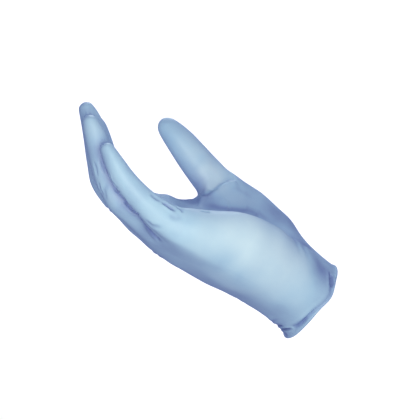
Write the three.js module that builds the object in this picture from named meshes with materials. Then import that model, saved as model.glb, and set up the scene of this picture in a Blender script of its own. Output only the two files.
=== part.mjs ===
// A nitrile exam glove in the form that a right hand gives it: palm up, fingers together and curling,
// thumb lifted. It is one dipped film: cuff, palm, four finger tubes and a thumb tube, open inside,
// ending in a rolled bead at the cuff. Millimetres.
// The cuff's mouth is centred on the origin and faces +X, the fingers point to -X, the thumb side is +Y,
// and the palm looks up, +Z, rolled a little towards the thumb side.
import * as THREE from "three";

// Driving dimensions
const REACH = 212; // rolled edge to the tip of the middle finger, along the curled hand
const BREADTH = 84; // across the hand at the knuckles
const LIFT = 76; // mid plane of the hand to the thumb's tip
const CUFF_BREADTH = 66; // mouth of the cuff, across
const CUFF_DEPTH = 60; // mouth of the cuff, back to front
const CUFF_LENGTH = 25; // rolled edge to the wrist
const CUFF_SLANT = 9; // degrees that the cuff's edge leans, longest on the palm's side
const CUFF_SKEW = 12; // degrees that it leans across, longest on the thumb's side
const THICK = 20; // depth of a finger where it leaves the palm
const FILM = 1; // wall
const BEAD = 2.8; // thickness of the rolled edge
const ROLL = 8; // degrees that the palm turns towards the thumb side

// Digits are rows from the root to the tip: along, across, up, breadth, depth. Along is a share of REACH,
// across of BREADTH, up of LIFT, and breadth and depth of THICK.
// Fingers, little finger first: knuckle, web, middle joint, middle bone, last joint, tip.
const FINGERS = [
  [
    [0.566, -0.417, -0.038, 1, 1.15],
    [0.66, -0.429, -0.008, 0.89, 0.975],
    [0.75, -0.429, 0.057, 0.85, 0.83],
    [0.802, -0.423, 0.116, 0.82, 0.76],
    [0.845, -0.417, 0.189, 0.77, 0.69],
    [0.89, -0.405, 0.276, 0.6, 0.48],
  ],
  [
    [0.585, -0.185, -0.087, 1.025, 1.2],
    [0.698, -0.19, -0.061, 0.9, 1.07],
    [0.811, -0.19, 0.045, 0.89, 0.9],
    [0.868, -0.19, 0.191, 0.89, 0.83],
    [0.915, -0.19, 0.332, 0.85, 0.77],
    [0.96, -0.19, 0.447, 0.65, 0.51],
  ],
  [
    [0.599, 0.054, -0.087, 1.025, 1.23],
    [0.708, 0.054, -0.032, 0.9, 1.13],
    [0.807, 0.054, 0.06, 0.9, 0.96],
    [0.868, 0.054, 0.258, 0.91, 0.9],
    [0.925, 0.054, 0.455, 0.87, 0.83],
    [0.975, 0.054, 0.571, 0.67, 0.54],
  ],
  [
    [0.585, 0.298, 0.125, 1.05, 1.15],
    [0.684, 0.296, 0.103, 0.92, 1.03],
    [0.777, 0.286, 0.158, 0.93, 0.93],
    [0.835, 0.286, 0.316, 0.89, 0.86],
    [0.887, 0.286, 0.467, 0.84, 0.76],
    [0.932, 0.286, 0.566, 0.65, 0.5],
  ],
];

// Thumb from its root in the mound to the tip.
const THUMB = [
  [0.387, 0.512, 0.6, 1.5, 1.4],
  [0.439, 0.554, 0.65, 1.3, 1.34],
  [0.491, 0.577, 0.717, 1.15, 1.31],
  [0.547, 0.595, 0.784, 1.05, 1.21],
  [0.604, 0.607, 0.855, 0.98, 1.1],
  [0.657, 0.619, 0.905, 0.75, 0.85],
];

// Fleshy parts that fill the palm, each a chain of balls: the four bones of the palm, the heel on the
// little finger's side, the thumb's mound and its foot, the web between thumb and first finger, and the
// hollow of the palm. A ball is along, across, up and radius, as shares of the same four sizes.
const PALM = [
  [[0.094, -0.167, 0.026, 0.95], [0.33, -0.31, 0, 0.75], [0.585, -0.417, -0.036, 0.575]],
  [[0.094, -0.071, -0.013, 0.95], [0.33, -0.143, -0.086, 0.775], [0.594, -0.185, -0.084, 0.61]],
  [
    [0.094, 0.024, -0.039, 0.9],
    [0.226, 0.095, -0.066, 0.79],
    [0.382, 0.095, -0.104, 0.82],
    [0.528, 0.06, -0.11, 0.74],
    [0.613, 0.054, -0.092, 0.66],
  ],
  [[0.094, 0.095, -0.013, 0.95], [0.33, 0.286, 0, 0.75], [0.519, 0.298, 0.105, 0.6]],
  [
    [0.024, -0.143, 0.079, 1],
    [0.179, -0.214, 0.197, 0.925],
    [0.33, -0.321, 0.204, 0.85],
    [0.434, -0.357, 0.145, 0.825],
    [0.528, -0.393, 0.053, 0.675],
  ],
  [
    [0, 0, 0.066, 1.1],
    [0.142, 0.31, 0.36, 0.86],
    [0.198, 0.405, 0.524, 0.845],
    [0.305, 0.464, 0.63, 0.82],
    [0.406, 0.536, 0.605, 0.7],
  ],
  [
    [0.094, 0.119, 0.132, 0.9],
    [0.212, 0.345, 0.316, 0.9],
    [0.33, 0.405, 0.382, 0.87],
    [0.42, 0.405, 0.342, 0.75],
  ],
  [[0.368, 0.429, 0.447, 0.735], [0.495, 0.321, 0.165, 0.58], [0.66, 0.292, 0.13, 0.61]],
  [[0.189, 0, 0.13, 0.85], [0.33, 0.06, 0.08, 0.72], [0.472, 0.06, 0.03, 0.6]],
];

// The cuff's half sizes, across, to the back and to the front, as shares of its mouth.
const CUFF = [
  [-0.038, 0.5, 0.508, 0.483],
  [0.014, 0.5, 0.5, 0.483],
  [0.047, 0.485, 0.445, 0.49],
  [0.094, 0.47, 0.36, 0.45],
  [0.142, 0.424, 0.29, 0.333],
  [0.212, 0.273, 0.167, 0.167],
];

// Places of the sections as shares of REACH. In TURNS each place is followed by the turns in degrees of
// the section's points over the front, thumb's side first.
const STATIONS = [0.012, 0.045, 0.085, 0.132, 0.184, 0.236, 0.283, 0.33, 0.37, 0.41, 0.45, 0.491, 0.538, 0.585];
const TURNS = [
  [0, 18, 36, 54, 72, 90, 108, 126, 144, 162],
  [0.142, 16, 30, 43, 56, 71, 92, 117, 140, 161],
  [0.283, 14, 27, 38, 49, 60, 76, 104, 132, 158],
  [0.448, 13, 25, 37, 48, 60, 78, 108, 136, 160],
  [0.585, 18, 27, 42, 62, 95, 126, 146, 156, 164],
];

const PALM_SIDES = 20; // points round the cuff and palm
const FINGER_SIDES = 8; // points round a finger
const FINGER_RINGS = 8;
const THUMB_RINGS = 9;
const THUMB_ROWS = 4; // palm strips that the thumb grows from
const THUMB_FIRST_ROW = 7;
const THUMB_COLUMNS = 3;
const BEAD_SIDES = 7; // strips round the bead
const BACK_POINTS = 2 * FINGERS.length + 1;
const THUMB_COLUMN = BACK_POINTS + 2;
const { degToRad, radToDeg, lerp, clamp } = THREE.MathUtils;

const sized = (rows, ...sizes) => rows.map((row) => row.map((share, k) => share * (sizes[k] ?? 1)));
const fingers = FINGERS.map((rows) => sized(rows, REACH, BREADTH, LIFT, THICK, THICK));
const thumb = sized(THUMB, REACH, BREADTH, LIFT, THICK, THICK);
const flesh = PALM.map((chain) => sized(chain, REACH, BREADTH, LIFT, THICK));
const cuffRows = sized(CUFF, REACH, CUFF_BREADTH, CUFF_DEPTH, CUFF_DEPTH);
const turnRows = sized(TURNS, REACH);

const cage = { points: [], quads: [] };
const addPoint = (p) => cage.points.push(p) - 1;
const addRing = (ring) => ring.map(addPoint);
const average = (a, b) => a.clone().add(b).multiplyScalar(0.5);

// A point of the hand: along towards the fingertips, across towards the thumb, up out of the palm.
function hand(along, across, up) {
  return new THREE.Vector3(-along, across, up);
}

// A closed strip of quads between two rings with as many points.
function joinRings(near, far) {
  near.forEach((a, k) => {
    const b = near[(k + 1) % near.length];
    const c = far[(k + 1) % far.length];
    cage.quads.push([a, far[k], c, b]);
  });
}

// A row between two rows of a table, with every column eased between them.
function rowAt(rows, t) {
  const i = clamp(Math.floor(t), 0, rows.length - 2);
  const [before, from, to, after] = [-1, 0, 1, 2].map((d) => rows[clamp(i + d, 0, rows.length - 1)]);
  const x = t - i;
  return from.map((_, column) => {
    const [p0, p1, p2, p3] = [before, from, to, after].map((row) => row[column]);
    const cubic = 3 * (p1 - p2) + p3 - p0;
    return p1 + 0.5 * x * (p2 - p0 + x * (2 * p0 - 5 * p1 + 4 * p2 - p3 + x * cubic));
  });
}

// How far down a table a place along the hand lies, counted in rows.
function rowNumber(rows, along) {
  let i = 0;
  while (i < rows.length - 2 && rows[i + 1][0] < along) i++;
  return i + clamp((along - rows[i][0]) / (rows[i + 1][0] - rows[i][0]), 0, 1);
}

// Distance from a point to the surface of a chain of balls, negative inside.
function chainDistance(chain, p) {
  let nearest = Infinity;
  for (let i = 0; i + 1 < chain.length; i++) {
    const [a, b] = [chain[i], chain[i + 1]];
    const axis = [0, 1, 2].map((k) => b[k] - a[k]);
    const from = [0, 1, 2].map((k) => p[k] - a[k]);
    const dot = axis[0] * from[0] + axis[1] * from[1] + axis[2] * from[2];
    const t = clamp(dot / (axis[0] ** 2 + axis[1] ** 2 + axis[2] ** 2), 0, 1);
    const away = Math.hypot(from[0] - t * axis[0], from[1] - t * axis[1], from[2] - t * axis[2]);
    nearest = Math.min(nearest, away - lerp(a[3], b[3], t));
  }
  return nearest;
}

// The smaller of two distances, with a rounded hollow of the given size where they are alike.
function softMin(a, b, size) {
  const h = Math.max(0, size - Math.abs(a - b)) / size;
  return Math.min(a, b) - (h * h * size) / 4;
}

function palmDistance(p) {
  return flesh.map((chain) => chainDistance(chain, p)).reduce((a, b) => softMin(a, b, 0.6 * THICK));
}

// How far the flesh reaches from a point in one direction of a section.
function fleshRadius([along, across, up], dy, dz) {
  const at = (r) => palmDistance([along, across + dy * r, up + dz * r]);
  let outer = BREADTH + THICK;
  while (outer > THICK / 4 && at(outer) > 0) outer -= THICK / 10;
  let inner = outer;
  outer += THICK / 10;
  for (let n = 0; n < 12; n++) {
    const half = (inner + outer) / 2;
    if (at(half) > 0) outer = half;
    else inner = half;
  }
  return inner;
}

// The ring of points of one section. It runs over the back from the little finger's side to the thumb's,
// and comes back over the palm.
function palmRing(share) {
  const along = share * REACH;
  const knuckles = share / STATIONS[STATIONS.length - 1];
  const middle = [along, -0.036 * BREADTH * knuckles, 0.05 * THICK * knuckles];
  const [, breadth, back, front] = rowAt(cuffRows, rowNumber(cuffRows, along));
  const t = rowNumber(turnRows, along);
  const i = Math.min(Math.floor(t), turnRows.length - 2);
  const turns = [];
  for (let k = 0; k < BACK_POINTS; k++) {
    const even = 180 + (180 * (k + 1)) / (BACK_POINTS + 1);
    const across = lerp(-0.476, 0.405, k / (BACK_POINTS - 1)) * BREADTH;
    const flat = radToDeg(Math.atan2(-0.55 * THICK, across)) + 360;
    turns.push(lerp(even, flat, clamp(1.1 * knuckles, 0, 1)));
  }
  turns.push(360);
  for (let k = 1; k <= BACK_POINTS; k++) turns.push(lerp(turnRows[i][k], turnRows[i + 1][k], t - i));
  turns.push(180);
  return turns.map((turn) => {
    const [dy, dz] = [Math.cos(degToRad(turn)), Math.sin(degToRad(turn))];
    const cuff = 1 / Math.hypot(dy / breadth, dz / (dz < 0 ? back : front));
    const r = -softMin(-fleshRadius(middle, dy, dz), -cuff, 0.3 * THICK);
    const [across, up] = [middle[1] + dy * r, middle[2] + dz * r];
    const lean = Math.tan(degToRad(CUFF_SLANT)) * up + Math.tan(degToRad(CUFF_SKEW)) * across;
    return hand(along - lean * Math.max(0, 1 - along / CUFF_LENGTH), across, up);
  });
}

// The place, direction, side and front of a digit, counted in rows of its table. Past the last row the
// digit is rounded off.
function digitFrame(rows, t) {
  const last = rows.length - 1;
  const [along, across, up, breadth, depth] = rowAt(rows, Math.min(t, last));
  const place = hand(along, across, up);
  const ahead = hand(...rowAt(rows, clamp(t + 0.05, 0.1, last)))
    .sub(hand(...rowAt(rows, clamp(t - 0.05, 0, last - 0.1))))
    .normalize();
  const side = hand(0, 1, 0).addScaledVector(ahead, -ahead.y).normalize();
  const front = new THREE.Vector3().crossVectors(side, ahead);
  const past = Math.max(0, t - last);
  place.addScaledVector(ahead, (past * depth) / 2);
  const end = Math.sqrt(Math.max(0, 1 - past ** 2)) / 2;
  return { place, ahead, side, front, breadth: breadth * end, depth: depth * end };
}

function onDigit(rows, t, turn, grow = 1) {
  const { place, side, front, breadth, depth } = digitFrame(rows, t);
  return place
    .addScaledVector(side, breadth * Math.cos(turn) * grow)
    .addScaledVector(front, depth * Math.sin(turn) * grow);
}

// A ring round all four fingers at once, where neighbours share the points between them.
function rowOfFingers(t, valley) {
  const back = [];
  const front = [];
  const corner = degToRad(48);
  fingers.forEach((f, i) => {
    const first = [onDigit(f, t, Math.PI + corner, 1.1), onDigit(f, t, Math.PI - corner, 1.1)];
    const last = [onDigit(f, t, -corner, 1.1), onDigit(f, t, corner, 1.1)];
    if (i === 0) {
      back.push(first[0]);
      front.push(first[1]);
    } else {
      back[2 * i] = average(back[2 * i], first[0]).add(hand(0, 0, valley));
      front[2 * i] = average(front[2 * i], first[1]).add(hand(0, 0, -valley));
    }
    back.push(onDigit(f, t, -Math.PI / 2, 1.06), last[0]);
    front.push(onDigit(f, t, Math.PI / 2, 1.06), last[1]);
  });
  const little = onDigit(fingers[0], t, Math.PI, 1.06);
  const index = onDigit(fingers[3], t, 0, 1.06);
  return [...back, index, ...front.reverse(), little];
}

// Whether a point, or a quad, of the palm lies in the hole that the thumb grows from.
const pointInThumb = (row, column) => quadInThumb(row - 1, column - 1) && quadInThumb(row, column);
function quadInThumb(row, column) {
  const [up, across] = [row - THUMB_FIRST_ROW, column - THUMB_COLUMN];
  return up >= 0 && up < THUMB_ROWS && across >= 0 && across < THUMB_COLUMNS;
}

function buildPalm() {
  const rings = STATIONS.map((share, row) =>
    palmRing(share).map((p, column) => (pointInThumb(row, column) ? null : addPoint(p))),
  );
  rings.push(addRing(rowOfFingers(0.45, 0.075 * THICK)));
  rings.push(addRing(rowOfFingers(1, 0.125 * THICK)));
  return rings;
}

function buildFinger(f, i, ring, webs) {
  const between = (k) => {
    if (k === 0) return ring[PALM_SIDES - 1];
    if (k === fingers.length) return ring[BACK_POINTS];
    return webs[k];
  };
  const back = [0, 1, 2].map((d) => ring[2 * i + d]);
  const front = [0, 1, 2].map((d) => ring[PALM_SIDES - 2 - (2 * i + d)]);
  let near = [...back, between(i + 1), front[2], front[1], front[0], between(i)];
  const last = f.length - 1;
  for (let n = 1; n <= FINGER_RINGS; n++) {
    const t = lerp(1, last + 0.62, n / FINGER_RINGS);
    const far = [];
    for (let k = 0; k < FINGER_SIDES; k++) far.push(onDigit(f, t, degToRad(225 + 45 * k), 1.07));
    const ids = addRing(far);
    joinRings(near, ids);
    near = ids;
  }
  const tip = addPoint(digitFrame(f, last + 1.12).place);
  for (const k of [1, 3, 5, 7]) {
    cage.quads.push([tip, near[(k + 2) % 8], near[(k + 1) % 8], near[k]]);
  }
}

function buildWebs(t) {
  const webs = [];
  for (let i = 1; i < fingers.length; i++) {
    webs[i] = addPoint(average(onDigit(fingers[i - 1], t, 0), onDigit(fingers[i], t, Math.PI)));
  }
  return webs;
}

function buildThumb(rings) {
  const [r0, r4] = [THUMB_FIRST_ROW, THUMB_FIRST_ROW + THUMB_ROWS];
  const [c0, c3] = [THUMB_COLUMN, THUMB_COLUMN + THUMB_COLUMNS];
  let near = [];
  for (let c = c0; c < c3; c++) near.push(rings[r0][c]);
  for (let r = r0; r < r4; r++) near.push(rings[r][c3]);
  for (let c = c3; c > c0; c--) near.push(rings[r4][c]);
  for (let r = r4; r > r0; r--) near.push(rings[r][c0]);
  const sides = near.length;
  const last = thumb.length - 1;
  const base = digitFrame(thumb, 0.6);
  const own = near.map((id) => {
    const d = cage.points[id].clone().sub(base.place);
    return Math.atan2(d.dot(base.front), d.dot(base.side));
  });
  const unwrapped = [own[0]];
  for (let k = 1; k < sides; k++) {
    let step = own[k] - own[k - 1];
    while (step > Math.PI) step -= 2 * Math.PI;
    while (step < -Math.PI) step += 2 * Math.PI;
    unwrapped.push(unwrapped[k - 1] + step);
  }
  const way = Math.sign(unwrapped[sides - 1] - unwrapped[0]);
  const mean = unwrapped.reduce((s, turn, k) => s + turn - (way * 2 * Math.PI * k) / sides, 0) / sides;
  for (let n = 1; n <= THUMB_RINGS; n++) {
    const t = lerp(0.9, last + 0.62, (n - 1) / (THUMB_RINGS - 1));
    const even = clamp(n / 4, 0, 1);
    const far = near.map((_, k) => {
      const turn = lerp(unwrapped[k], mean + (way * 2 * Math.PI * k) / sides, even);
      return onDigit(thumb, t, turn, 1.02);
    });
    const ids = addRing(far);
    joinRings(near, ids);
    near = ids;
  }
  closeEnd(near, digitFrame(thumb, last + 1.05));
}

// Closes a ring with a grid of quads: its first columns are one edge of the grid.
function closeEnd(ring, tip) {
  const [w, h] = [THUMB_COLUMNS, THUMB_ROWS];
  const grid = [];
  for (let y = 0; y <= h; y++) {
    grid.push([]);
    for (let x = 0; x <= w; x++) {
      if (y === 0) grid[y].push(ring[x]);
      else if (x === w) grid[y].push(ring[w + y]);
      else if (y === h) grid[y].push(ring[w + h + (w - x)]);
      else if (x === 0) grid[y].push(ring[2 * w + 2 * h - y]);
      else grid[y].push(null);
    }
  }
  const place = (y, x) => cage.points[grid[y][x]];
  for (let y = 1; y < h; y++) {
    for (let x = 1; x < w; x++) {
      const p = place(0, x).clone().multiplyScalar(1 - y / h).addScaledVector(place(h, x), y / h);
      const q = place(y, 0).clone().multiplyScalar(1 - x / w).addScaledVector(place(y, w), x / w);
      p.add(q).multiplyScalar(0.5);
      p.addScaledVector(tip.ahead, tip.place.clone().sub(p).dot(tip.ahead));
      grid[y][x] = addPoint(p);
    }
  }
  for (let y = 0; y < h; y++) {
    for (let x = 0; x < w; x++) {
      cage.quads.push([grid[y][x], grid[y + 1][x], grid[y + 1][x + 1], grid[y][x + 1]]);
    }
  }
}

function buildOuter() {
  const rings = buildPalm();
  for (let r = 0; r + 1 < rings.length; r++) {
    for (let k = 0; k < PALM_SIDES; k++) {
      if (quadInThumb(r, k)) continue;
      const next = (k + 1) % PALM_SIDES;
      cage.quads.push([rings[r][k], rings[r + 1][k], rings[r + 1][next], rings[r][next]]);
    }
  }
  const webs = buildWebs(1);
  fingers.forEach((f, i) => buildFinger(f, i, rings[rings.length - 1], webs));
  buildThumb(rings);
}

// One step of Catmull-Clark subdivision of a closed or open quad mesh.
function subdivide({ points, quads }) {
  const edges = new Map();
  const mean = (list) => list.reduce((s, p) => s.add(p), new THREE.Vector3()).divideScalar(list.length);
  const facePoints = quads.map((q) => mean(q.map((v) => points[v])));
  const around = points.map(() => ({ faces: [], edges: [] }));
  quads.forEach((q, f) => {
    q.forEach((a, k) => {
      const b = q[(k + 1) % 4];
      const key = Math.min(a, b) + "-" + Math.max(a, b);
      if (!edges.has(key)) {
        edges.set(key, { a, b, faces: [] });
        around[a].edges.push(key);
        around[b].edges.push(key);
      }
      edges.get(key).faces.push(f);
      around[a].faces.push(f);
    });
  });
  const out = points.map((p, v) => {
    const { faces, edges: keys } = around[v];
    const n = keys.length;
    if (faces.length < n) {
      const rim = keys.map((key) => edges.get(key)).filter((e) => e.faces.length < 2);
      const sum = new THREE.Vector3();
      rim.forEach((e) => sum.add(points[e.a === v ? e.b : e.a]));
      return p.clone().multiplyScalar(0.75).addScaledVector(sum, 0.125);
    }
    const middles = keys.map((key) => average(points[edges.get(key).a], points[edges.get(key).b]));
    const sum = mean(faces.map((f) => facePoints[f])).addScaledVector(mean(middles), 2);
    return sum.addScaledVector(p, n - 3).divideScalar(n);
  });
  const faceIds = facePoints.map((p) => out.push(p) - 1);
  for (const e of edges.values()) {
    const mid = average(points[e.a], points[e.b]);
    if (e.faces.length === 2) mid.lerp(average(...e.faces.map((f) => facePoints[f])), 0.5);
    e.id = out.push(mid) - 1;
  }
  const fine = [];
  quads.forEach((q, f) => {
    const ids = q.map((a, k) => {
      const b = q[(k + 1) % 4];
      return edges.get(Math.min(a, b) + "-" + Math.max(a, b)).id;
    });
    q.forEach((v, k) => fine.push([v, ids[k], faceIds[f], ids[(k + 3) % 4]]));
  });
  return { points: out, quads: fine };
}

// Outward normals of the points of a quad mesh.
function normals({ points, quads }) {
  const out = points.map(() => new THREE.Vector3());
  for (const q of quads) {
    const [a, b, c, d] = q.map((v) => points[v]);
    const normal = c.clone().sub(a).cross(d.clone().sub(b)).normalize();
    q.forEach((v) => out[v].add(normal));
  }
  return out.map((normal) => normal.normalize());
}

// The open edge of a quad mesh, as a loop of points in the order that its quads run.
function openEdge({ quads }) {
  const next = new Map();
  const steps = new Set(quads.flatMap((q) => q.map((a, k) => a + "-" + q[(k + 1) % 4])));
  for (const q of quads) {
    q.forEach((a, k) => {
      const b = q[(k + 1) % 4];
      if (!steps.has(b + "-" + a)) next.set(a, b);
    });
  }
  const loop = [next.keys().next().value];
  while (next.get(loop[loop.length - 1]) !== loop[0]) loop.push(next.get(loop[loop.length - 1]));
  return loop;
}

// Gives the outer surface its wall and rolls the open edge into a bead.
function closeFilm(surface) {
  const { points, quads } = surface;
  const outward = normals(surface);
  const count = points.length;
  const rim = openEdge(surface);
  points.push(...points.map((p, v) => p.clone().addScaledVector(outward[v], -FILM)));
  quads.push(...quads.map((q) => q.map((v) => v + count).reverse()));
  const rings = [rim];
  const entry = Math.asin(FILM / BEAD);
  const middles = rim.map((v) => average(points[v], points[v + count]));
  for (let n = 1; n < BEAD_SIDES; n++) {
    const turn = lerp(Math.PI - entry, entry - Math.PI, n / BEAD_SIDES);
    rings.push(
      rim.map((v, k) => {
        const along = points[rim[(k + 1) % rim.length]].clone().sub(points[rim.at(k - 1)]).normalize();
        const out = outward[v].clone().addScaledVector(along, -outward[v].dot(along)).normalize();
        const away = new THREE.Vector3().crossVectors(along, out);
        if (away.x < 0) away.negate();
        const radius = BEAD / 2;
        const p = middles[k].clone().addScaledVector(away, radius * (Math.cos(entry) + Math.cos(turn)));
        return points.push(p.addScaledVector(out, radius * Math.sin(turn))) - 1;
      }),
    );
  }
  rings.push(rim.map((v) => v + count));
  for (let n = 0; n + 1 < rings.length; n++) {
    rim.forEach((_, k) => {
      const next = (k + 1) % rim.length;
      quads.push([rings[n][next], rings[n][k], rings[n + 1][k], rings[n + 1][next]]);
    });
  }
  return surface;
}

function toGeometry({ points, quads }) {
  const geometry = new THREE.BufferGeometry();
  geometry.setAttribute("position", new THREE.Float32BufferAttribute(points.flatMap((p) => p.toArray()), 3));
  geometry.setIndex(
    quads.flatMap(([a, b, c, d]) => {
      const ac = points[a].distanceToSquared(points[c]);
      const bd = points[b].distanceToSquared(points[d]);
      return ac < bd ? [a, b, c, a, c, d] : [a, b, d, b, c, d];
    }),
  );
  return geometry;
}

buildOuter();
const film = new THREE.MeshStandardMaterial({ color: 0xa4c4e4, roughness: 0.55, metalness: 0 });
const glove = new THREE.Mesh(toGeometry(closeFilm(subdivide(cage))), film);
glove.name = "glove_film";
const group = new THREE.Group();
group.rotation.x = -degToRad(ROLL);
group.add(glove);
export default group;
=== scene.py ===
"""A pale blue nitrile exam glove in its worn form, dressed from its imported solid.

The film is the solid's own surface, made fine by subdivision and then pushed into the creases, ledges and
wrinkles that a tight film has. Metres, in the part's frame: the cuff's mouth is at the origin and opens to
+X, the fingers point to -X, the thumb's side is +Y and the palm looks up.
"""

import math

import bmesh
import bpy
import numpy as np
from mathutils import Matrix, Vector, noise
from mathutils.bvhtree import BVHTree
from mathutils.kdtree import KDTree


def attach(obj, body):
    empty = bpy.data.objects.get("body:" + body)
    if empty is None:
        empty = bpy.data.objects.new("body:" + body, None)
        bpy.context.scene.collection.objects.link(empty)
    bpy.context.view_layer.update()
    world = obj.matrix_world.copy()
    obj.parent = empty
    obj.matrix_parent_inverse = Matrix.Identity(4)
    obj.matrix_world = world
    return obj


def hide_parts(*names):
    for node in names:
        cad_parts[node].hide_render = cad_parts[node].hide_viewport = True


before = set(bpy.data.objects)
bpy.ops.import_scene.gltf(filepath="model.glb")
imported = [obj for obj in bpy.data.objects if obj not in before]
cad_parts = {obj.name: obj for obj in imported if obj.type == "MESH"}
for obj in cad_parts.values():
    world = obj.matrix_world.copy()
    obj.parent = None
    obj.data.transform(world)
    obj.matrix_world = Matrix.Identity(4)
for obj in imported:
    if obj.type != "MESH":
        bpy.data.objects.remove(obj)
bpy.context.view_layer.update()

MM = 0.001
NODE = "glove_film"
SEED = 2  # for what is placed at random, so that each run gives the same film

# The photograph's camera: where it stands, how it is turned, and the frame that it fills.
PHOTO_SIDE = 420
CAMERA_DISTANCE = 0.7
CAMERA_AZIMUTH = math.radians(-17)
CAMERA_ROLL = math.radians(28.8)
LENS_MM = 83.3
SENSOR_MM = 36
MOUTH_PIXEL = (311, 302)  # where the photograph shows the middle of the cuff's mouth
PIXELS_PER_UNIT = LENS_MM / SENSOR_MM * PHOTO_SIDE

# Where the photograph shows fine folds: the middle's pixel and the radius in millimetres.
FOLDED = (
    (100, 165, 13),
    (112, 188, 13),
    (128, 205, 13),
    (145, 225, 14),
    (165, 205, 13),
    (185, 210, 10),
    (205, 208, 10),
    (228, 200, 14),
    (222, 186, 12),
    (328, 275, 13),
    (322, 300, 9),
    (288, 328, 14),
    (306, 315, 9),
)

# The hand's own directions, turned about X as the solid is.
PALM_ROLL = math.radians(8)

# The film's rim: where it starts, how much its faces look along X, and where the film beside it ends.
RIM_START = -12 * MM
RIM_FACING = 0.6
RIM_SIDE = -14 * MM
INNER_MARK = 0.01  # the mark "outside" is below this on the inner sheet alone
FAR_FACING = 0.3  # faces whose normals look this much away from the camera aren't made finer

# How the rest of the glove shelters a place, which sets its painted shade: how many rays are cast and how
# far, and how much they count.
SHELTER_RAYS = 48
SHELTER_REACH = 70 * MM
SHELTER_START = 0.4 * MM
SHELTER_GAIN = 4.8
SHELTER_INSIDE = 0.8

# How far a fold acts beside its line and above or below it, and a swell above or below its place.
LINE_REACH = 25 * MM
LINE_DEPTH = 7 * MM
SWELL_DEPTH = 12 * MM
LINE_PARTS = 4  # each step of a line is cast onto the film in this many parts
LEAST_WEIGHT = 0.001

# A crease: its lips' place in widths, the width of its painted shade in widths, how much painted shade
# each millimetre of depth gives and the most, and by how many millimetres the coarser inner sheet gives
# way more widely.
LIP_PLACE = 1.9
CREASE_SHADE_WIDTH = 1.3
CREASE_SHADE_PER_DEPTH = 0.75
CREASE_SHADE_MOST = 1.2
INNER_WIDER = 2.5

# The outline: a pixel, how far the film there is drawn right and up, and over what radius. Millimetres.
# The slack under the fingers, the cuff's round side and its bottom, and the mound's far side.
OUTLINE = (
    (152, 245, -1.2, -1.8, 11),
    (132, 228, -1.2, -1.5, 9),
    (112, 208, -1.0, -1.0, 9),
    (176, 264, -0.4, -1.2, 10),
    (92, 180, -0.8, -0.6, 9),
    (104, 119, 2.6, 0.8, 7),
    (288, 221, 1.2, 1.9, 11),
    (222, 168, 0.7, 0.8, 9),
    (246, 300, -0.3, 1.3, 14),
    (321, 262, -0.6, -0.9, 7),
    (327, 294, 2.4, -1.2, 9),
    (274, 320, -1.5, -1.4, 5),
    (196, 196, -0.6, -1.4, 5),
)
# The palm's near ridge and the valley behind its end: a pixel, the rise and the radius in millimetres.
RIDGE = (
    (240, 219, 2.6, 13),
    (260, 227, 3.4, 13),
    (280, 236, 2.8, 13),
    (165, 208, 1.1, 9),
    (183, 214, 2.4, 9),
)
# The web behind the little finger stands a little higher: the same.
WEB = (
    (164, 198, 2.0, 7),
    (174, 201, 1.0, 7),
)

# Lines through pixels of the photograph.
THUMB_ROOT = ((200, 198), (207, 194.5), (214, 190), (221, 184), (229, 180.5), (237, 180.5))
THUMB_ROOT_END = ((198, 211), (205, 212.5), (213, 212.5))
MOUND_FOOT = ((198, 204), (207, 207), (225, 209), (245, 211), (262, 216), (274, 222))
VALLEY = ((107, 170), (113, 184), (120, 194), (135, 213), (143, 222), (158, 241))
CUFF_BAND = ((331, 272), (330, 281), (328, 292), (321, 304), (312, 312), (302, 322), (292, 328))
CUFF_POCKET = ((331, 273), (330.5, 280), (329.5, 287))

# Creases: the pixels of a line, its depth and its width in millimetres.
# The valley between the little and the ring finger, pinched in short folds.
VALLEY_FOLDS = (
    (((108, 172), (112, 181), (118, 189)), 1.0, 0.9),
    (((112, 186), (117, 191), (121, 192)), 0.9, 0.7),
    (((120, 193), (126, 201), (132, 209), (138, 214)), 1.3, 1.2),
    (((131, 208), (135, 213), (141, 214)), 0.9, 0.8),
    (((139, 220), (146, 225), (152, 232), (158, 239), (160, 243)), 1.7, 1.6),
    (((151, 229), (154, 235), (159, 242)), 0.8, 0.8),
    (((144, 219), (152, 226), (163, 229)), 0.5, 1.4),
    (((101, 196), (104, 203), (110, 211)), 0.7, 0.9),
    (((104, 199), (109, 206), (116, 210)), 0.35, 0.9),
    (((108, 182), (104, 190), (107, 200)), 0.35, 1.2),
    (((98, 181), (100, 189), (104, 196)), 0.5, 0.9),
    (((93, 160), (96, 168), (98, 178)), 0.45, 0.9),
    (((99, 158), (101, 166), (105, 175)), 0.45, 0.8),
)
# The little finger's root on the palm's side.
ROOT_FOLDS = (
    (((161, 203), (166, 206.5), (171, 210.5), (177, 214)), 1.3, 1.0),
    (((176, 210), (181, 213), (184, 217)), 0.8, 0.9),
    (((170, 206), (180, 209.5), (190, 212)), 0.35, 1.2),
    (((150, 193), (156, 199), (162, 203)), 0.6, 1.2),
    (((168, 217), (176, 220), (184, 219)), 0.3, 1.4),
)
# Soft folds from the wrist up to the thumb's mound, and the thumb's own bend.
WRIST_FOLDS = (
    (((289, 232), (298, 244), (303, 258)), 0.45, 2.0),
    (((299, 240), (307, 252), (312, 264)), 0.45, 1.8),
    (((190, 172), (198, 163), (207, 154)), 0.25, 2.5),
    (((226, 186), (240, 190), (256, 200)), 0.3, 2.2),
)
# The folds at the cuff's bottom.
CUFF_FOLDS = (
    (((273, 323), (278, 325), (284, 326)), 1.3, 0.9),
    (((278, 328), (285, 329.5), (294, 329)), 1.4, 0.9),
    (((293, 329), (300, 325), (308, 316)), 0.7, 1.0),
    (((303, 322), (310, 314), (316, 309)), 0.4, 0.8),
)
# Wrinkles on the sides that the photograph doesn't show: their middle in the hand's millimetres (along,
# across, up), their length, their slant, and how many there are.
WRINKLE_SEED = 7
WRINKLES = (
    (22, 0, -30, 30, 0.10, 4),
    (48, 14, -26, 26, 0.30, 4),
    (118, 4, -18, 20, 0.15, 3),
    (128, 26, -8, 14, -0.20, 3),
    (146, 10, -14, 12, 0.10, 2),
)
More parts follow.
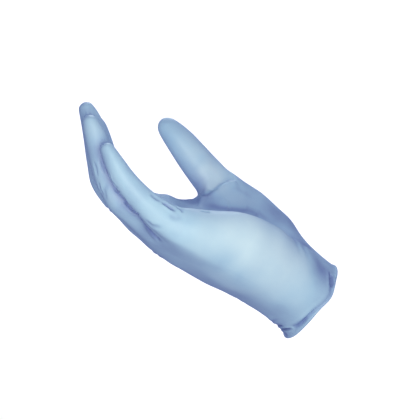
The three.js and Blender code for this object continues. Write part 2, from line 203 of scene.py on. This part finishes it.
# Soft undulations of the palm and the wrist: a pixel, the height and the radius in millimetres.
SWELLS = (
    (262, 246, 0.8, 16),
    (200, 218, 0.5, 12),
    (215, 232, -0.5, 9),
    (300, 250, -0.9, 10),
    (285, 240, 0.6, 8),
    (318, 272, -1.2, 8),
    (232, 262, -0.6, 10),
    (300, 300, 0.6, 12),
    (150, 236, -0.7, 8),
    (128, 214, -0.5, 6),
    (113, 198, 0.9, 5),
    (118, 206, 0.5, 5),
    (141, 226, -0.6, 6),
)
# Painted light and stretched film above 0, painted shade and slack film below: a pixel, the tone and the
# radius in millimetres.
TONES = (
    (258, 247, 0.75, 27),
    (225, 230, 0.45, 20),
    (292, 268, 0.55, 18),
    (212, 181, 1.2, 11),
    (203, 168, 0.45, 12),
    (188, 148, 0.3, 14),
    (275, 212, -0.6, 10),
    (290, 224, -0.5, 9),
    (232, 200, 0.25, 9),
    (322, 270, -0.9, 11),
    (303, 244, -0.4, 8),
    (220, 264, -0.4, 10),
    (242, 277, -0.3, 10),
    (286, 334, -0.9, 3),
    (208, 198, -0.45, 8),
    (196, 203, -0.6, 6),
    (306, 246, -0.3, 7),
    (165, 196, -1.0, 9),
    (171, 197, -0.5, 7),
    (182, 199, -0.6, 7),
    (128, 212, -0.3, 8),
    (148, 232, -0.45, 8),
    (112, 199, 0.25, 5),
    (90, 132, 0.2, 8),
    (97, 127, 0.15, 6),
    (160, 246, -0.35, 10),
    (278, 322, -0.5, 7),
    (93, 150, -0.15, 12),
)

# The film's colours: slack film with painted shade, even film, stretched film with painted light, and the
# violet of the painted shade where the glove shelters itself.
SLACK_AND_SHADE = (0.22, 0.31, 0.57, 1)
EVEN = (0.50, 0.745, 0.88, 1)
STRETCHED_AND_LIT = (0.73, 0.94, 0.98, 1)
SHELTER_SHADE_COLOR = (0.32, 0.42, 0.70, 1)

# The stage: a round floor that bends up into a wall.
STAGE_FLOOR = -0.45
STAGE_RADIUS = 2.6
STAGE_BEND = 0.8
STAGE_HEIGHT = 7.0
STAGE_SIDES = 48
BEND_PARTS = 12


def camera_axes():
    """The photograph's directions in the part's frame: away from the camera, right and up."""
    away = Vector((-math.sin(CAMERA_AZIMUTH), math.cos(CAMERA_AZIMUTH), 0))
    level = away.cross(Vector((0, 0, 1))).normalized()
    upright = level.cross(away)
    right = math.cos(CAMERA_ROLL) * level + math.sin(CAMERA_ROLL) * upright
    up = -math.sin(CAMERA_ROLL) * level + math.cos(CAMERA_ROLL) * upright
    return away, right, up


AWAY, RIGHT, UP = camera_axes()


def pixel_ray(x, y):
    """The direction from the camera through a pixel of the photograph."""
    across = (x - PHOTO_SIDE / 2) / PIXELS_PER_UNIT
    upward = (PHOTO_SIDE / 2 - y) / PIXELS_PER_UNIT
    return AWAY + across * RIGHT + upward * UP


CAMERA_PLACE = -CAMERA_DISTANCE * pixel_ray(*MOUTH_PIXEL)


def hand(along, across, up):
    """A point of the hand in millimetres: along from the cuff, across to the thumb, up out of the palm."""
    turn = Matrix.Rotation(-PALM_ROLL, 3, "X")
    return turn @ Vector((-along * MM, across * MM, up * MM))


def add_camera():
    data = bpy.data.cameras.new("photo_camera")
    data.lens = LENS_MM
    data.sensor_width = SENSOR_MM
    data.clip_start = 0.01
    camera = bpy.data.objects.new("photo_camera", data)
    turn = Matrix((RIGHT, UP, -AWAY)).transposed()
    camera.matrix_world = Matrix.Translation(CAMERA_PLACE) @ turn.to_4x4()
    bpy.context.scene.collection.objects.link(camera)
    bpy.context.scene.camera = camera


def quad_mesh():
    """The node's surface with its triangles joined into quads."""
    bm = bmesh.new()
    bm.from_mesh(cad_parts[NODE].data)
    bmesh.ops.remove_doubles(bm, verts=bm.verts, dist=0.01 * MM)
    bmesh.ops.join_triangles(
        bm, faces=bm.faces, angle_face_threshold=math.pi, angle_shape_threshold=math.pi
    )
    return bm


def at_rim(face):
    """Whether a face is on the rim, where the film turns from its outer side to its inner one."""
    return face.normal.x > RIM_FACING and face.calc_center_median().x > RIM_START


def mark_outside(bm):
    """Marks the outer sheet's points: those that a walk from a fingertip to the rim meets."""
    bm.faces.ensure_lookup_table()
    start = min(bm.faces, key=lambda f: f.calc_center_median().x)
    outer = {start}
    edge = [start]
    while edge:
        near = {f for face in edge for e in face.edges for f in e.link_faces} - outer
        edge = [f for f in near if not at_rim(f)]
        outer.update(edge)
    side = bm.verts.layers.float.new("outside")
    for face in outer:
        for v in face.verts:
            v[side] = 1.0


def painted_shelter_shade(bm):
    """How much of each outer point's view the rest of the glove takes, from 0 on open film to 1: the mask
    of the painted shade.
    """
    tree = BVHTree.FromBMesh(bm)
    side = bm.verts.layers.float["outside"]
    shelter = bm.verts.layers.float.new("painted_shelter_shade")
    bm.normal_update()
    rays = []
    for n in range(SHELTER_RAYS):
        height = (n + 0.5) / SHELTER_RAYS
        turn = n * math.pi * (3 - math.sqrt(5))
        flat = math.sqrt(1 - height * height)
        rays.append(Vector((flat * math.cos(turn), flat * math.sin(turn), height)))
    for v in bm.verts:
        # the inner sheet gets most of the painted shade, since the inside of the cuff lies in shade
        if v[side] < 0.5:
            v[shelter] = SHELTER_INSIDE
            continue
        turn = v.normal.to_track_quat("Z", "Y")
        start = v.co + v.normal * SHELTER_START
        hits = 0.0
        for ray in rays:
            distance = tree.ray_cast(start, turn @ ray, SHELTER_REACH)[3]
            if distance is not None:
                hits += ray.z * (1 - distance / SHELTER_REACH)
        v[shelter] = min(1.0, SHELTER_GAIN * hits / SHELTER_RAYS)


def fine_film():
    """The film as one fine mesh: the solid's surface subdivided twice."""
    bm = quad_mesh()
    mark_outside(bm)
    painted_shelter_shade(bm)
    mesh = bpy.data.meshes.new("nitrile_film")
    bm.to_mesh(mesh)
    bm.free()
    film = bpy.data.objects.new("nitrile_film", mesh)
    bpy.context.scene.collection.objects.link(film)
    smooth = film.modifiers.new("smooth", "SUBSURF")
    smooth.levels = smooth.render_levels = 2
    bpy.context.view_layer.update()
    evaluated = film.evaluated_get(bpy.context.evaluated_depsgraph_get())
    film.data = bpy.data.meshes.new_from_object(evaluated)
    film.modifiers.clear()
    thin_inside(film.data)
    return film


def thin_inside(mesh):
    """Leaves the unseen inner sheet coarser, and halves the spacing where the film is folded."""
    bm = bmesh.new()
    bm.from_mesh(mesh)
    side = bm.verts.layers.float["outside"]
    inner = [v for v in bm.verts if v[side] < INNER_MARK]
    bmesh.ops.unsubdivide(bm, verts=inner, iterations=2)
    folded = []
    for x, y, radius in FOLDED:
        centre = CAMERA_PLACE + CAMERA_DISTANCE * pixel_ray(x, y)
        folded.append((centre, pixel_ray(x, y).normalized(), radius * MM))
    edges = set()
    for face in bm.faces:
        if min(v[side] for v in face.verts) < 0.5 or face.normal @ AWAY > FAR_FACING:
            continue
        place = face.calc_center_median()
        for centre, ray, radius in folded:
            offset = place - centre
            if (offset - (offset @ ray) * ray).length < radius:
                edges.update(face.edges)
                break
    # in the mesh's own order, which is the same in each run
    bm.edges.index_update()
    edges = sorted(edges, key=lambda edge: edge.index)
    bmesh.ops.subdivide_edges(bm, edges=edges, cuts=1, use_grid_fill=True)
    bm.to_mesh(mesh)
    bm.free()


def point_tree(points):
    tree = KDTree(len(points))
    for n, point in enumerate(points):
        tree.insert(point, n)
    tree.balance()
    return tree


class Shape:
    """The film's points as an array, with its outer surface to find places on."""

    def __init__(self, film):
        self.mesh = film.data
        count = len(self.mesh.vertices)
        self.points = np.zeros(count * 3)
        self.mesh.vertices.foreach_get("co", self.points)
        self.points = self.points.reshape(-1, 3)
        self.rest = self.points.copy()
        self.tone = np.zeros(count)
        outside = np.zeros(count)
        self.mesh.attributes["outside"].data.foreach_get("value", outside)
        self.inner = outside < INNER_MARK
        self.tree = BVHTree.FromObject(film, bpy.context.evaluated_depsgraph_get())

    def seen_at(self, x, y):
        """The place and normal of the film that a pixel of the photograph shows."""
        ray = pixel_ray(x, y)
        place, normal, _, _ = self.tree.ray_cast(CAMERA_PLACE, ray.normalized())
        if place is None:
            return self.nearest(CAMERA_PLACE + CAMERA_DISTANCE * ray)
        return place, normal

    def nearest(self, place):
        """The film's nearest place to a point, and its normal there."""
        found, normal, _, _ = self.tree.find_nearest(place)
        return found, normal

    def around(self, x, y, radius):
        """1 where the film shows at a pixel, fading out over a radius in millimetres."""
        place, _ = self.seen_at(x, y)
        distance = np.linalg.norm(self.rest - np.array(place), axis=1) / (radius * MM)
        return np.exp(-distance * distance)

    def along(self, line):
        """Where each point is beside a line of (place, normal).

        Gives its signed distance from the line, the way out of the film there, and its share of the line's
        length. A point that the line doesn't reach is 1 m beside it.
        """
        places = np.array([place for place, _ in line])
        close = np.all(self.rest > places.min(axis=0) - LINE_REACH, axis=1)
        close &= np.all(self.rest < places.max(axis=0) + LINE_REACH, axis=1)
        close = np.flatnonzero(close)
        rest = self.rest[close]
        best = np.full(len(rest), 1.0)
        beside = np.full(len(self.rest), 1.0)
        outward = np.zeros_like(self.rest)
        share = np.zeros(len(self.rest))
        lengths = [0.0]
        for (a, _), (b, _) in zip(line, line[1:]):
            lengths.append(lengths[-1] + (b - a).length)
        for n, ((a, na), (b, nb)) in enumerate(zip(line, line[1:])):
            a, b, na, nb = (np.array(v) for v in (a, b, na, nb))
            step = b - a
            t = np.clip((rest - a) @ step / max(step @ step, 1e-12), 0, 1)
            normal = na + t[:, None] * (nb - na)
            normal /= np.linalg.norm(normal, axis=1)[:, None]
            offset = rest - (a + t[:, None] * step)
            depth = np.einsum("ij,ij->i", offset, normal)
            flat = offset - depth[:, None] * normal
            distance = np.linalg.norm(flat, axis=1)
            side = np.sign(np.einsum("ij,ij->i", flat, np.cross(step, normal)))
            nearer = (distance < best) & (np.abs(depth) < LINE_DEPTH)
            best[nearer] = distance[nearer]
            found = close[nearer]
            beside[found] = (distance * side)[nearer]
            outward[found] = normal[nearer]
            share[found] = (lengths[n] + t[nearer] * (lengths[n + 1] - lengths[n])) / lengths[-1]
        return beside, outward, share

    def store(self):
        """Writes the points and their tone into the film's mesh."""
        tone = self.mesh.attributes.new("tone", "FLOAT", "POINT")
        tone.data.foreach_set("value", np.clip(self.tone, -1, 1))
        self.mesh.vertices.foreach_set("co", self.points.ravel())
        self.mesh.update()


def undulate(shape, height, spacing):
    """Slow unevenness all over: the same shift for both sheets. Millimetres."""
    noise.seed_set(SEED)
    near = 1 / (spacing * MM)
    shifts = [noise.noise_vector(near * Vector(place)) for place in shape.rest]
    shape.points += np.array(shifts) * height * MM


def taper(share, ends=0.3):
    """Fades a fold out towards both ends of its line."""
    t = np.clip(np.minimum(share, 1 - share) / ends, 0, 1)
    return t * t * (3 - 2 * t)


def crease(shape, line, depth, width, lip=0.35, ends=0.3):
    """A groove along a line, with a low lip on both sides and painted shade along it. Millimetres."""
    beside, outward, share = shape.along(line)
    x = beside / (width * MM)
    profile = -np.exp(-x * x) + lip * np.exp(-((np.abs(x) - LIP_PLACE) ** 2))
    # the coarser inner sheet gives way more widely, so that the groove doesn't come through it
    wide = beside / ((width + INNER_WIDER) * MM)
    profile[shape.inner] = -np.exp(-wide * wide)[shape.inner]
    shape.points += outward * (profile * taper(share, ends) * depth * MM)[:, None]
    # painted shade in the groove, darker for a deeper crease
    crease_shade = np.exp(-((x / CREASE_SHADE_WIDTH) ** 2)) * taper(share, ends)
    shape.tone -= min(CREASE_SHADE_MOST, CREASE_SHADE_PER_DEPTH * depth) * crease_shade


def fold(shape, creases):
    for pixels, depth, width in creases:
        crease(shape, photo_line(shape, *pixels), depth, width)


def ledge(shape, line, height, width, reach, ends=0.3):
    """Film that overhangs its neighbour: raised right of the line, sunk left of it. Millimetres."""
    beside, outward, share = shape.along(line)
    step = np.tanh(beside / (width * MM))
    fade = np.exp(-((beside / (reach * MM)) ** 2))
    shape.points += outward * (step * fade * taper(share, ends) * height * MM)[:, None]


def swell(shape, place, normal, height, radius):
    """A soft round bulge, or a hollow where the height is negative. Millimetres."""
    offset = shape.rest - np.array(place)
    normal = np.array(normal)
    depth = offset @ normal
    flat = offset - depth[:, None] * normal
    x = np.linalg.norm(flat, axis=1) / (radius * MM)
    near = np.abs(depth) < SWELL_DEPTH
    shape.points += normal * (np.exp(-x * x) * near * height * MM)[:, None]


def pull(shape, x, y, shift, radius):
    """Draws the film near a pixel of the photograph along a direction. Millimetres."""
    shape.points += shape.around(x, y, radius)[:, None] * np.array(shift)[None, :] * MM


def shade(shape, x, y, tone, radius):
    """Paints light where the tone is above 0 and shade where it is below, with stretched film paler and
    slack film deeper. Millimetres.
    """
    shape.tone += shape.around(x, y, radius) * tone


def shade_line(shape, line, tone, width):
    """Paints light along a line where the tone is above 0 and shade where it is below. Millimetres."""
    beside, _, share = shape.along(line)
    x = beside / (width * MM)
    shape.tone += np.exp(-x * x) * taper(share) * tone


def relax(shape, x, y, radius, rounds):
    """Evens the film out around a pixel of the photograph. Millimetres."""
    place, _ = shape.seen_at(x, y)
    reach = np.linalg.norm(shape.points - np.array(place), axis=1) / (radius * MM)
    weight = np.exp(-(reach**4))[:, None]
    before = shape.points.copy()
    near = np.flatnonzero(weight[:, 0] > LEAST_WEIGHT)
    weight[shape.inner] = 0
    count = len(shape.points)
    ends = np.zeros(len(shape.mesh.edges) * 2, dtype=np.int32)
    shape.mesh.edges.foreach_get("vertices", ends)
    ends = ends.reshape(-1, 2)
    ends = ends[np.any(weight[ends, 0] > LEAST_WEIGHT, axis=1)]
    a, b = np.concatenate((ends, ends[:, ::-1])).T
    number = np.maximum(np.bincount(a, minlength=count), 1)[:, None]
    for _ in range(rounds):
        sums = [np.bincount(a, weights=shape.points[b, k], minlength=count) for k in range(3)]
        middle = np.stack(sums, axis=1) / number
        shape.points += 0.5 * weight * (middle - shape.points)
    # the inner sheet follows the outer one
    outer = near[~shape.inner[near]]
    tree = point_tree(before[outer])
    for point in near[shape.inner[near]]:
        follow = outer[tree.find(before[point])[1]]
        shape.points[point] += shape.points[follow] - before[follow]


def part_sheets(shape, gap, reach):
    """Moves the inner sheet back where the folds bring the outer one closer than a gap. Millimetres."""
    shape.mesh.vertices.foreach_set("co", shape.points.ravel())
    shape.mesh.update()
    normals = np.zeros(len(shape.points) * 3)
    shape.mesh.vertex_normals.foreach_get("vector", normals)
    normals = normals.reshape(-1, 3)
    outer = np.flatnonzero(~shape.inner)
    tree = point_tree(shape.points[outer])
    for point in np.flatnonzero(shape.inner & (shape.rest[:, 0] < RIM_SIDE)):
        found = [n for _, n, _ in tree.find_range(shape.points[point], reach * MM)]
        if found:
            depth = (shape.points[point] - shape.points[outer[found]]) @ normals[point]
            shape.points[point] += max(0, gap * MM - depth.min()) * normals[point]


def photo_line(shape, *pixels):
    """A line on the film through pixels of the photograph, with its normals."""
    line = []
    for (xa, ya), (xb, yb) in zip(pixels, pixels[1:]):
        for n in range(LINE_PARTS):
            t = n / LINE_PARTS
            line.append(shape.seen_at(xa + t * (xb - xa), ya + t * (yb - ya)))
    line.append(shape.seen_at(*pixels[-1]))
    return line


def hand_line(shape, *places):
    """A line on the film that passes nearest to places of the hand, with its normals."""
    line = []
    for a, b in zip(places, places[1:]):
        for n in range(LINE_PARTS):
            line.append(shape.nearest(hand(*a).lerp(hand(*b), n / LINE_PARTS)))
    line.append(shape.nearest(hand(*places[-1])))
    return line


def wrinkle(shape):
    """Small wrinkles at seeded places."""
    rng = np.random.default_rng(WRINKLE_SEED)
    for along, across, up, length, slant, count in WRINKLES:
        for _ in range(count):
            start, size = along + rng.uniform(-9, 9), length * rng.uniform(0.5, 1)
            side, bow = across + rng.uniform(-5, 5), rng.uniform(-0.15, 0.15) * length
            line = hand_line(
                shape,
                (start, side - size / 2, up),
                (start + bow + slant * size / 2, side, up),
                (start + slant * size, side + size / 2, up),
            )
            crease(shape, line, depth=rng.uniform(0.2, 0.45), width=rng.uniform(1.3, 2.2))


def shape_film(film):
    """Folds and shades the film. Each step goes on from the one before it."""
    shape = Shape(film)
    undulate(shape, height=0.35, spacing=16)
    # the fold over the thumb's root and the crease beside the palm's ridge start from even film
    relax(shape, 203, 203, radius=11, rounds=120)
    for x, y, across, rise, radius in OUTLINE:
        pull(shape, x, y, across * RIGHT + rise * UP, radius)
    for x, y, rise, radius in RIDGE:
        pull(shape, x, y, rise * UP, radius)
    pull(shape, 302, 237, -4 * AWAY, radius=13)
    root = photo_line(shape, *THUMB_ROOT)
    ledge(shape, root, height=2.2, width=1.7, reach=9, ends=0.12)
    crease(shape, root, depth=0.5, width=1.6, lip=0.1, ends=0.12)
    crease(shape, photo_line(shape, *THUMB_ROOT_END), depth=0.9, width=0.9, lip=0.4)
    fold(shape, VALLEY_FOLDS)
    fold(shape, ROOT_FOLDS)
    crease(shape, photo_line(shape, *CUFF_BAND), depth=0.6, width=1.3, lip=0.3, ends=0.05)
    crease(shape, photo_line(shape, *CUFF_POCKET), depth=2.0, width=1.4, lip=0.2)
    fold(shape, WRIST_FOLDS)
    fold(shape, CUFF_FOLDS)
    wrinkle(shape)
    for x, y, height, radius in SWELLS:
        swell(shape, *shape.seen_at(x, y), height, radius)
    relax(shape, 213, 200, radius=6, rounds=25)
    for x, y, rise, radius in WEB:
        pull(shape, x, y, rise * UP, radius)
    part_sheets(shape, gap=0.35, reach=3)
    # painted light and shade in spots, together with the film's stretch and slack
    for x, y, tone, radius in TONES:
        shade(shape, x, y, tone, radius)
    # painted shade along the thumb's root, the valley between the little and the ring finger, and the
    # mound's foot
    shade_line(shape, root, tone=-0.5, width=3)
    shade_line(shape, photo_line(shape, *VALLEY), tone=-0.5, width=2.5)
    shade_line(shape, photo_line(shape, *MOUND_FOOT), tone=-0.75, width=3)
    shape.store()


def film_material():
    """Satin film: paler where it is stretched and where light is painted, deeper where it is slack and
    where shade is painted, and a painted violet shade where the rest of the glove shelters it.
    """
    material = bpy.data.materials.new("nitrile")
    material.use_nodes = True
    nodes, links = material.node_tree.nodes, material.node_tree.links
    shader = nodes["Principled BSDF"]
    shader.inputs["Roughness"].default_value = 0.48
    place = nodes.new("ShaderNodeTexCoord")

    def attribute(name):
        node = nodes.new("ShaderNodeAttribute")
        node.attribute_name = name
        return node.outputs["Fac"]

    def noise_texture(scale, detail):
        node = nodes.new("ShaderNodeTexNoise")
        node.inputs["Scale"].default_value = scale
        node.inputs["Detail"].default_value = detail
        links.new(place.outputs["Object"], node.inputs["Vector"])
        return node.outputs["Fac"]

    # a slow unevenness around 0.5, to which half the tone of stretch, slack and painted light and shade is
    # added
    uneven = nodes.new("ShaderNodeMapRange")
    limits = {"From Min": 0.3, "From Max": 0.7, "To Min": 0.42, "To Max": 0.58}
    for name, value in limits.items():
        uneven.inputs[name].default_value = value
    links.new(noise_texture(55, 3), uneven.inputs["Value"])
    stretch_and_light = nodes.new("ShaderNodeMath")
    stretch_and_light.operation = "MULTIPLY_ADD"
    stretch_and_light.inputs[1].default_value = 0.5
    links.new(attribute("tone"), stretch_and_light.inputs[0])
    links.new(uneven.outputs["Result"], stretch_and_light.inputs[2])
    colors = nodes.new("ShaderNodeValToRGB")
    ramp = colors.color_ramp
    ramp.elements[0].color = SLACK_AND_SHADE
    ramp.elements[1].color = STRETCHED_AND_LIT
    ramp.elements.new(0.5).color = EVEN
    links.new(stretch_and_light.outputs[0], colors.inputs["Fac"])
    # painted shade: the colour turns violet where the rest of the glove shelters the film
    mix = nodes.new("ShaderNodeMix")
    mix.data_type = "RGBA"
    links.new(attribute("painted_shelter_shade"), mix.inputs[0])
    links.new(colors.outputs["Color"], mix.inputs[6])
    mix.inputs[7].default_value = SHELTER_SHADE_COLOR
    links.new(mix.outputs[2], shader.inputs["Base Color"])
    bump = nodes.new("ShaderNodeBump")
    bump.inputs["Strength"].default_value = 0.12
    bump.inputs["Distance"].default_value = 0.3 * MM
    links.new(noise_texture(420, 4), bump.inputs["Height"])
    links.new(bump.outputs["Normal"], shader.inputs["Normal"])
    return material


def add_area_light(name, place, target, size, power, color):
    data = bpy.data.lights.new(name, "AREA")
    data.shape = "DISK"
    data.size = size
    data.energy = power
    data.color = color
    light = bpy.data.objects.new(name, data)
    turn = (target - place).to_track_quat("-Z", "Y").to_matrix().to_4x4()
    light.matrix_world = Matrix.Translation(place) @ turn
    bpy.context.scene.collection.objects.link(light)


def stage_mesh():
    """A round floor that bends up into a wall all round the glove."""
    inside = STAGE_RADIUS - STAGE_BEND
    profile = [(inside, 0.0)]
    for n in range(1, BEND_PARTS + 1):
        turn = math.pi / 2 * n / BEND_PARTS
        profile.append((inside + STAGE_BEND * math.sin(turn), STAGE_BEND - STAGE_BEND * math.cos(turn)))
    profile.append((STAGE_RADIUS, STAGE_HEIGHT))
    turns = [2 * math.pi * n / STAGE_SIDES for n in range(STAGE_SIDES)]
    bm = bmesh.new()
    rings = []
    for out, up in profile:
        rings.append([bm.verts.new((out * math.cos(t), out * math.sin(t), up)) for t in turns])
    bm.faces.new(rings[0])
    for low, high in zip(rings, rings[1:]):
        for n in range(STAGE_SIDES):
            m = (n + 1) % STAGE_SIDES
            bm.faces.new((low[n], low[m], high[m], high[n]))
    mesh = bpy.data.meshes.new("sweep")
    bm.to_mesh(mesh)
    bm.free()
    for polygon in mesh.polygons:
        polygon.use_smooth = True
    return mesh


def add_stage():
    """The pale stage, soft light from the front and from above behind, and a dim sky."""
    mesh = stage_mesh()
    sweep = bpy.data.objects.new("sweep", mesh)
    sweep.matrix_world = Matrix.Translation((0, 0, STAGE_FLOOR))
    # it is seen only: its own light and shadow don't fall on the glove
    sweep.visible_diffuse = sweep.visible_glossy = sweep.visible_shadow = False
    bpy.context.scene.collection.objects.link(sweep)
    paper = bpy.data.materials.new("paper")
    paper.use_nodes = True
    shader = paper.node_tree.nodes["Principled BSDF"]
    shader.inputs["Base Color"].default_value = (0.9, 0.9, 0.9, 1)
    shader.inputs["Roughness"].default_value = 0.9
    shader.inputs["Emission Color"].default_value = (1, 1, 1, 1)
    shader.inputs["Emission Strength"].default_value = 1.0
    mesh.materials.append(paper)

    palm = Vector((-0.06, -0.03, 0))
    add_area_light("key", palm - 0.45 * AWAY, palm, 0.3, 1.4, (1, 1, 0.8))
    middle = Vector((-0.1, 0, 0.02))
    behind = middle + 1.7 * (0.8 * UP + 0.6 * AWAY)
    add_area_light("rim", behind, middle, 1.0, 10, (0.9, 1, 0.97))
    world = bpy.data.worlds.new("sky")
    world.use_nodes = True
    background = world.node_tree.nodes["Background"]
    background.inputs["Color"].default_value = (0.53, 0.54, 1.0, 1)
    background.inputs["Strength"].default_value = 0.40
    bpy.context.scene.world = world


add_camera()
film = fine_film()
for polygon in film.data.polygons:
    polygon.use_smooth = True
shape_film(film)
film.data.materials.clear()
film.data.materials.append(film_material())
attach(film, "root")
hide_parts(NODE)
add_stage()
bpy.context.scene.view_settings.view_transform = "Standard"
